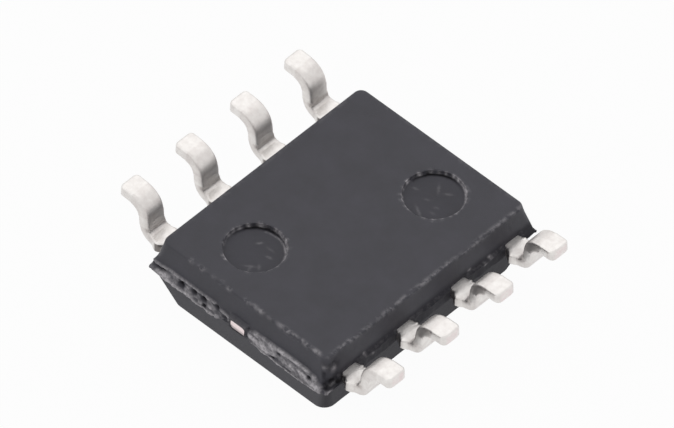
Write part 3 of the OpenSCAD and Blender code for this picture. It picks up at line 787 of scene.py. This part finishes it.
class MakeChipLeads(bpy.types.Operator):
    """Build the eight gull-wing leads, each from its bond pad to its cut toe"""
    bl_idname = "chip.make_leads"
    bl_label = "Gull-wing leads"

    def execute(self, context):
        size = context.scene.chip_leads
        finish = tin_plate(context.scene.chip_colours)
        for number in range(1, 2 * LEADS_IN_ROW + 1):
            self.make_lead(size, number, finish)
        return {"FINISHED"}

    @staticmethod
    def make_lead(size, number, finish):
        row = 1 if number <= LEADS_IN_ROW else -1
        place = (number - 1) % LEADS_IN_ROW
        y_place = row * (1.5 - place) * size.pitch / MM
        end_side = np.sign(y_place)
        end_lead = abs(y_place) > size.pitch / MM
        cuts = ((0.004, -0.045) if row > 0 else (0.0, -0.03))[::int(end_side)]
        points, bend, stub_shade, pressed = lead_points(size, end_lead, cuts, 70 + 5 * number)
        rows, around = points.shape[:2]
        # The two cut ends are drawn in ring by ring and closed at a middle point.
        caps, centres = [], []
        for ring, step in ((points[0], -1), (points[-1], 1)):
            centre = ring.mean(0)
            push = np.array([step * 0.004, 0, 0])
            inner = [centre + (ring - centre) * 0.94 + push * 0.8,
                     centre + (ring - centre) * 0.6 + push]
            caps.append(inner)
            centres.append(centre + push)
        grid = np.concatenate([caps[0][::-1], points, caps[1]])
        grid[..., 0] = np.minimum(grid[..., 0], size.toe / MM)
        grid[..., 2] = np.minimum(grid[..., 2], size.top / MM)
        ids = np.arange(grid.shape[0] * around).reshape(grid.shape[0], around)
        faces = quads(wrapped(ids))[:, ::-1].tolist()
        first, last = ids.size, ids.size + 1
        faces += [[first, int(b), int(a)] for a, b in zip(ids[0], np.roll(ids[0], -1))]
        faces += [[last, int(a), int(b)] for a, b in zip(ids[-1], np.roll(ids[-1], -1))]
        everything = np.concatenate([grid.reshape(-1, 3), centres])
        everything[:, 0] = np.clip(everything[:, 0], None, size.toe / MM)
        cut = np.zeros((grid.shape[0], around))
        cut[-3:] = 1
        bends = np.concatenate([[0, 0], bend, [0, 0]])[:, None] + 0 * cut
        # The stubs' painted shade is darker on the row at -X.
        stub_shade = stub_shade * (0.35 if row > 0 else 0.85)
        stubs, smooth = (np.pad(mask, ((2, 2), (0, 0))) for mask in (stub_shade, pressed))
        masks = {"cut": np.append(cut.reshape(-1), [0, 1]),
                 "stub_shade": np.append(stubs.reshape(-1), [0, 0]),
                 "pressed": np.append(smooth.reshape(-1), [0, 0]),
                 "bend": np.append(bends.reshape(-1), [0, 0])}
        everything = everything * [row, end_side if end_side else 1, 1]
        everything[:, 1] += y_place
        if row * end_side < 0:
            faces = [f[::-1] for f in faces]
        piece = make_piece(f"gull_wing_lead_{number}", everything, faces, finish, masks, 40)
        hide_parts(f"lead_{number}")
        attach(piece, "root")


# ---------------------------------------------------------------- finishes

def add_node(tree, kind, inputs=None, **settings):
    """Add a node with its settings, and give its inputs values or links from sockets."""
    new = tree.nodes.new(kind)
    for name, value in settings.items():
        setattr(new, name, value)
    for name, value in (inputs or {}).items():
        if isinstance(value, bpy.types.NodeSocket):
            tree.links.new(value, new.inputs[name])
        else:
            new.inputs[name].default_value = value
    return new


def noise(tree, place, per_mm, detail=3, roughness=0.6):
    """Cloudy noise with so many grains to the millimetre."""
    return add_node(tree, "ShaderNodeTexNoise", {
        "Vector": place, "Scale": per_mm / MM, "Detail": detail,
        "Roughness": roughness}).outputs["Fac"]


def streaks(tree, place, per_mm, detail, roughness):
    """Noise drawn out along the axes that have fewer grains to the millimetre."""
    drawn = add_node(tree, "ShaderNodeMapping", {
        "Vector": place, "Scale": [count / MM for count in per_mm]}).outputs[0]
    return add_node(tree, "ShaderNodeTexNoise", {
        "Vector": drawn, "Scale": 1, "Detail": detail, "Roughness": roughness}).outputs["Fac"]


def crystals(tree, place, per_mm):
    """Distance from the middles of close-packed cells, so many to the millimetre."""
    return add_node(tree, "ShaderNodeTexVoronoi", {
        "Vector": place, "Scale": per_mm / MM}, feature="F1").outputs["Distance"]


def mask(tree, name):
    """One of the values that a piece carries for each point."""
    return add_node(tree, "ShaderNodeAttribute", attribute_name=name).outputs["Fac"]


def spread(tree, value, low, high, to_low=0.0, to_high=1.0):
    """Carry a value from one range to another, held at both ends."""
    return add_node(tree, "ShaderNodeMapRange", {
        "Value": value, "From Min": low, "From Max": high, "To Min": to_low,
        "To Max": to_high}).outputs[0]


def reckon(tree, operation, *values):
    """Multiply, add or compare values."""
    return add_node(tree, "ShaderNodeMath", dict(enumerate(values)),
                    operation=operation).outputs[0]


def mixed(tree, share, low, high):
    """Mix two colours, each a socket or linear RGB."""
    low, high = (value if isinstance(value, bpy.types.NodeSocket) else (*value, 1)
                 for value in (low, high))
    return add_node(tree, "ShaderNodeMix", {0: share, 6: low, 7: high},
                    data_type="RGBA").outputs[2]


def toned(tree, colour_socket, tone):
    """Darken or lighten a colour by a factor."""
    return add_node(tree, "ShaderNodeVectorMath", {0: colour_socket, 1: tone},
                    operation="MULTIPLY").outputs[0]


def relief(tree, height, strength, depth_mm):
    """Tilt the surface as a pattern of this depth would."""
    return add_node(tree, "ShaderNodeBump", {
        "Strength": strength, "Distance": depth_mm * MM, "Height": height}).outputs[0]


def new_material(name, shade):
    """Make a material whose surface is the shader that shade(tree, place) returns."""
    material = bpy.data.materials.new(name)
    material.use_nodes = True
    tree = material.node_tree
    tree.nodes.clear()
    place = add_node(tree, "ShaderNodeTexCoord").outputs["Object"]
    shader = shade(tree, place)
    add_node(tree, "ShaderNodeOutputMaterial", {"Surface": shader.outputs[0]})
    return material


def moulding_compound(colours):
    """Black epoxy moulding compound, transfer-moulded in a spark-eroded cavity.

    The eroded steel leaves an even matte grain of about 0.025 mm, the flow of the filled
    resin leaves faint clouds, and rubbed or torn resin turns light grey and rougher.
    """
    def shade(tree, place):
        grain = noise(tree, place, 42)
        clouds = noise(tree, place, 2.3, 4, 0.55)
        tone = reckon(tree, "MULTIPLY", spread(tree, clouds, 0.3, 0.7, 0.86, 1.14),
                      spread(tree, grain, 0.3, 0.7, 0.88, 1.12))
        # The "marked" mask mixes in the darker resin, mostly as painted shade, and also makes it
        # rougher and less shiny.
        marked = mask(tree, "marked")
        whole = toned(tree, mixed(tree, marked, colours.resin, colours.resin_shaded), tone)
        # Rubbed edges are paler where a noise of about 0.1 mm runs high.
        specks = spread(tree, noise(tree, place, 10.5, 3, 0.55), 0.42, 0.6)
        rubbed = reckon(tree, "MULTIPLY", specks, mask(tree, "worn"))
        # Torn resin is pale in crumbs of about 0.05 mm.
        crumbs = spread(tree, noise(tree, place, 21), 0.38, 0.62, 0.5, 1.1)
        broken = reckon(tree, "MULTIPLY", crumbs, mask(tree, "torn"))
        pale = reckon(tree, "MAXIMUM", reckon(tree, "MULTIPLY", rubbed, 0.5), broken)
        matt = spread(tree, grain, 0.3, 0.7, 0.52, 0.66)
        return add_node(tree, "ShaderNodeBsdfPrincipled", {
            "Base Color": mixed(tree, pale, whole, colours.resin_torn),
            "Roughness": reckon(tree, "MULTIPLY_ADD", marked, 0.3, matt), "IOR": 1.55,
            "Specular IOR Level": reckon(tree, "MULTIPLY_ADD", marked, -0.4, 0.5),
            "Normal": relief(tree, grain, 0.5, 0.004)})
    return new_material("epoxy_moulding_compound", shade)


def tin_plate(colours):
    """Matte tin, electroplated on stamped copper-alloy leads before they were bent.

    Fine crystals of about 0.03 mm give a soft satin sheen with faint mottling. The plating
    is duller in the bends and where the anvil pressed it, the cut toes show some of the
    pinkish copper under it, and the cut sides of the dam-bar stubs carry a painted shade,
    darker on the row at -X.
    """
    def shade(tree, place):
        mottle = noise(tree, place, 9, 4)
        dull = reckon(tree, "MULTIPLY_ADD", mask(tree, "bend"), 0.35,
                      spread(tree, mottle, 0.35, 0.7, 0.1, 0.6))
        plate = mixed(tree, dull, colours.tin, colours.tin_dull)
        bare = reckon(tree, "MULTIPLY", mask(tree, "cut"), spread(tree, mottle, 0.3, 0.6, 0, 0.3))
        coppery = mixed(tree, bare, plate, colours.copper)
        satin = spread(tree, mottle, 0.3, 0.7, 0.29, 0.36)
        return add_node(tree, "ShaderNodeBsdfPrincipled", {
            "Base Color": mixed(tree, mask(tree, "stub_shade"), coppery, colours.stub_shade),
            "Metallic": 1.0,
            "Roughness": reckon(tree, "MULTIPLY_ADD", mask(tree, "pressed"), 0.52, satin),
            "Normal": relief(tree, crystals(tree, place, 36), 0.25, 0.003)})
    return new_material("matte_tin_plate", shade)


def cut_copper(colours):
    """Copper-iron leadframe strip, rolled and then cut, with fine marks along the roll.

    The strip is bright pinkish metal with drawn-out streaks of about 0.02 mm. The cut end
    is darker towards the bottom, over the strip's lowest 0.05 mm.
    """
    def shade(tree, place):
        roll = streaks(tree, place, (9, 60, 60), 3, 0.6)
        level = add_node(tree, "ShaderNodeSeparateXYZ", {"Vector": place}).outputs["Z"]
        darker_below = spread(tree, level, 0.84 * MM, 0.89 * MM, 0.55, 1.0)
        return add_node(tree, "ShaderNodeBsdfPrincipled", {
            "Base Color": toned(tree, mixed(tree, roll, colours.copper, colours.tin), darker_below),
            "Metallic": 1.0, "Roughness": spread(tree, roll, 0.3, 0.7, 0.3, 0.45),
            "Normal": relief(tree, roll, 0.3, 0.004)})
    return new_material("cut_leadframe_copper", shade)


def silver_adhesive():
    """Silver-filled die-attach epoxy, screen printed and cured.

    Silver flakes of about 0.02 mm in clear resin make a grey, slightly sparkling paste.
    """
    def shade(tree, place):
        flakes = crystals(tree, place, 60)
        return add_node(tree, "ShaderNodeBsdfPrincipled", {
            "Base Color": mixed(tree, flakes, linear("#c6c2b6"), linear("#8f8b80")),
            "Metallic": 0.6, "Roughness": 0.45, "Normal": relief(tree, flakes, 0.4, 0.003)})
    return new_material("silver_filled_epoxy", shade)


def sawn_silicon():
    """Silicon, ground and sawn, with a polished face: dark grey-blue and glossy.

    Saw marks of about 0.02 mm run round its edges.
    """
    def shade(tree, place):
        saw = streaks(tree, place, (2, 2, 50), 2, 0.5)
        return add_node(tree, "ShaderNodeBsdfPrincipled", {
            "Base Color": mixed(tree, saw, linear("#4d5361"), linear("#656b7a")),
            "Metallic": 0.4, "Roughness": spread(tree, saw, 0.3, 0.7, 0.15, 0.35), "IOR": 3.4})
    return new_material("sawn_silicon", shade)


def drawn_gold():
    """Gold bond wire, drawn and annealed: a smooth warm metal with faint drawn lines."""
    def shade(tree, place):
        lines = noise(tree, place, 90, 2, 0.5)
        return add_node(tree, "ShaderNodeBsdfPrincipled", {
            "Base Color": mixed(tree, lines, linear("#e3b84f"), linear("#cf9f36")),
            "Metallic": 1.0, "Roughness": spread(tree, lines, 0.3, 0.7, 0.18, 0.3)})
    return new_material("drawn_gold_wire", shade)


class FinishChipInsides(bpy.types.Operator):
    """Give the paddle, the adhesive, the die and the bond wires their finishes"""
    bl_idname = "chip.finish_insides"
    bl_label = "Paddle, die and wires"

    def execute(self, context):
        finishes = {"die_paddle": cut_copper(context.scene.chip_colours),
                    "die_attach": silver_adhesive(), "silicon_die": sawn_silicon()}
        gold = drawn_gold()
        finishes.update({f"bond_wire_{k}": gold for k in range(1, 2 * LEADS_IN_ROW + 1)})
        for name, finish in finishes.items():
            piece = frame["nodes"][name]
            piece.data.materials.clear()
            piece.data.materials.append(finish)
        return {"FINISHED"}


# ---------------------------------------------------------------- stage

def white_paper(colours):
    """Matt white paper, coated: an even pale surface with a faint tooth.

    The camera sees most of its own white, so that only the soft shadow round the chip
    darkens it.
    """
    def shade(tree, place):
        tone = mixed(tree, noise(tree, place, 3), colours.floor, linear("#e4e4e4"))
        paper = add_node(tree, "ShaderNodeBsdfDiffuse", {"Color": tone})
        white = add_node(tree, "ShaderNodeEmission", {"Color": (1, 1, 1, 1), "Strength": 1.0})
        path = add_node(tree, "ShaderNodeLightPath").outputs
        shown = reckon(tree, "MAXIMUM", path["Is Camera Ray"], path["Is Glossy Ray"])
        return add_node(tree, "ShaderNodeMixShader", {
            0: reckon(tree, "MULTIPLY", shown, 0.96), 1: paper.outputs[0],
            2: white.outputs[0]})
    return new_material("coated_white_paper", shade)


def direction(azimuth, elevation):
    """The way from the chip towards an azimuth and an elevation in degrees."""
    a, e = radians(azimuth), radians(elevation)
    return Vector((sin(a) * cos(e), -cos(a) * cos(e), sin(e)))


def facing(towards, roll=0.0):
    """A turn whose local Z points towards a direction, with its X level, then rolled."""
    back = towards.normalized()
    right = Vector((0, 0, 1)).cross(back).normalized()
    up = back.cross(right)
    right, up = right * cos(roll) + up * sin(roll), up * cos(roll) - right * sin(roll)
    return Matrix((right, up, back)).transposed(), right, up


class MakeChipStage(bpy.types.Operator):
    """Lay the paper, hang the soft lamps, set the world and aim the camera"""
    bl_idname = "chip.make_stage"
    bl_label = "Stage"

    def execute(self, context):
        scene = context.scene
        scene.view_settings.view_transform = "Standard"
        edge = 0.25
        mesh = bpy.data.meshes.new("paper")
        mesh.from_pydata([(-edge, -edge, 0), (edge, -edge, 0), (edge, edge, 0),
                          (-edge, edge, 0)], [], [(0, 1, 2, 3)])
        mesh.materials.append(white_paper(scene.chip_colours))
        paper = bpy.data.objects.new("paper", mesh)
        scene.collection.objects.link(paper)
        self.lamp("back_softbox", direction(212, 55), 0.12, 0.13, 0.26)
        self.lamp("left_softbox", direction(-45, 40), 0.12, 0.12, 0.22)
        self.world(scene)
        self.camera(scene)
        return {"FINISHED"}

    @staticmethod
    def lamp(name, towards, distance, size, brightness):
        """A square softbox whose power gives its face the brightness, as a shade of white."""
        light = bpy.data.lights.new(name, "AREA")
        light.size = size
        light.energy = brightness * pi * size * size
        lamp = bpy.data.objects.new(name, light)
        lamp.matrix_world = Matrix.Translation(towards * distance) @ facing(towards)[0].to_4x4()
        bpy.context.scene.collection.objects.link(lamp)

    @staticmethod
    def world(scene):
        world = bpy.data.worlds.new("studio")
        world.use_nodes = True
        tree = world.node_tree
        tree.nodes.clear()
        path = add_node(tree, "ShaderNodeLightPath").outputs
        seen = reckon(tree, "MAXIMUM", path["Is Camera Ray"], path["Is Transmission Ray"])
        shown = reckon(tree, "MAXIMUM", seen, path["Is Glossy Ray"])
        soft = add_node(tree, "ShaderNodeBackground", {
            "Color": (1, 1, 1, 1), "Strength": 0.6})
        white = add_node(tree, "ShaderNodeBackground", {
            "Color": (1, 1, 1, 1), "Strength": 1.0})
        light = add_node(tree, "ShaderNodeMixShader", {
            0: shown, 1: soft.outputs[0], 2: white.outputs[0]})
        add_node(tree, "ShaderNodeOutputWorld", {"Surface": light.outputs[0]})
        scene.world = world

    @staticmethod
    def camera(scene):
        """A long lens from 306 mm away, which sees the chip almost without perspective.

        It looks at the middle of the body's height, and then slides right and up.
        """
        azimuth, elevation, roll = 42.2528, 48.4113, 1.6648
        distance, slide_right, slide_up = 0.3065, -0.0966 * MM, 0.6232 * MM
        towards = direction(azimuth, elevation)
        turn, right, up = facing(towards, radians(roll))
        place = Vector((0, 0, scene.chip_body.height / 2)) + towards * distance
        place += right * slide_right + up * slide_up
        data = bpy.data.cameras.new("camera")
        data.sensor_width, data.lens = 36, 1015.4
        data.clip_start, data.clip_end = 0.01, 5
        camera = bpy.data.objects.new("camera", data)
        camera.matrix_world = Matrix.Translation(place) @ turn.to_4x4()
        scene.collection.objects.link(camera)
        scene.camera = camera


class ChipPanel(bpy.types.Panel):
    """Sizes and colours of the chip, and the steps that build it"""
    bl_idname = "VIEW3D_PT_chip"
    bl_label = "Small-outline chip"
    bl_space_type = "VIEW_3D"
    bl_region_type = "UI"
    bl_category = "Chip"

    def draw(self, context):
        for group in ("chip_body", "chip_leads", "chip_colours"):
            sizes = getattr(context.scene, group)
            box = self.layout.box()
            for name in sizes.__annotations__:
                box.prop(sizes, name)
        for step in STEPS:
            self.layout.operator(step.bl_idname)


GROUPS = {"chip_body": ChipBodySizes, "chip_leads": ChipLeadSizes, "chip_colours": ChipColours}
STEPS = (MakeChipStage, MakeChipBody, MakeChipLeads, FinishChipInsides)


def register():
    for cls in (*GROUPS.values(), *STEPS, ChipPanel):
        bpy.utils.register_class(cls)
    for name, group in GROUPS.items():
        setattr(bpy.types.Scene, name, PointerProperty(type=group))


def unregister():
    for name in GROUPS:
        delattr(bpy.types.Scene, name)
    for cls in reversed((*GROUPS.values(), *STEPS, ChipPanel)):
        bpy.utils.unregister_class(cls)


def main():
    register()
    bpy.ops.chip.make_stage()
    bpy.ops.chip.make_body()
    bpy.ops.chip.make_leads()
    bpy.ops.chip.finish_insides()


if __name__ == "__main__":
    main()
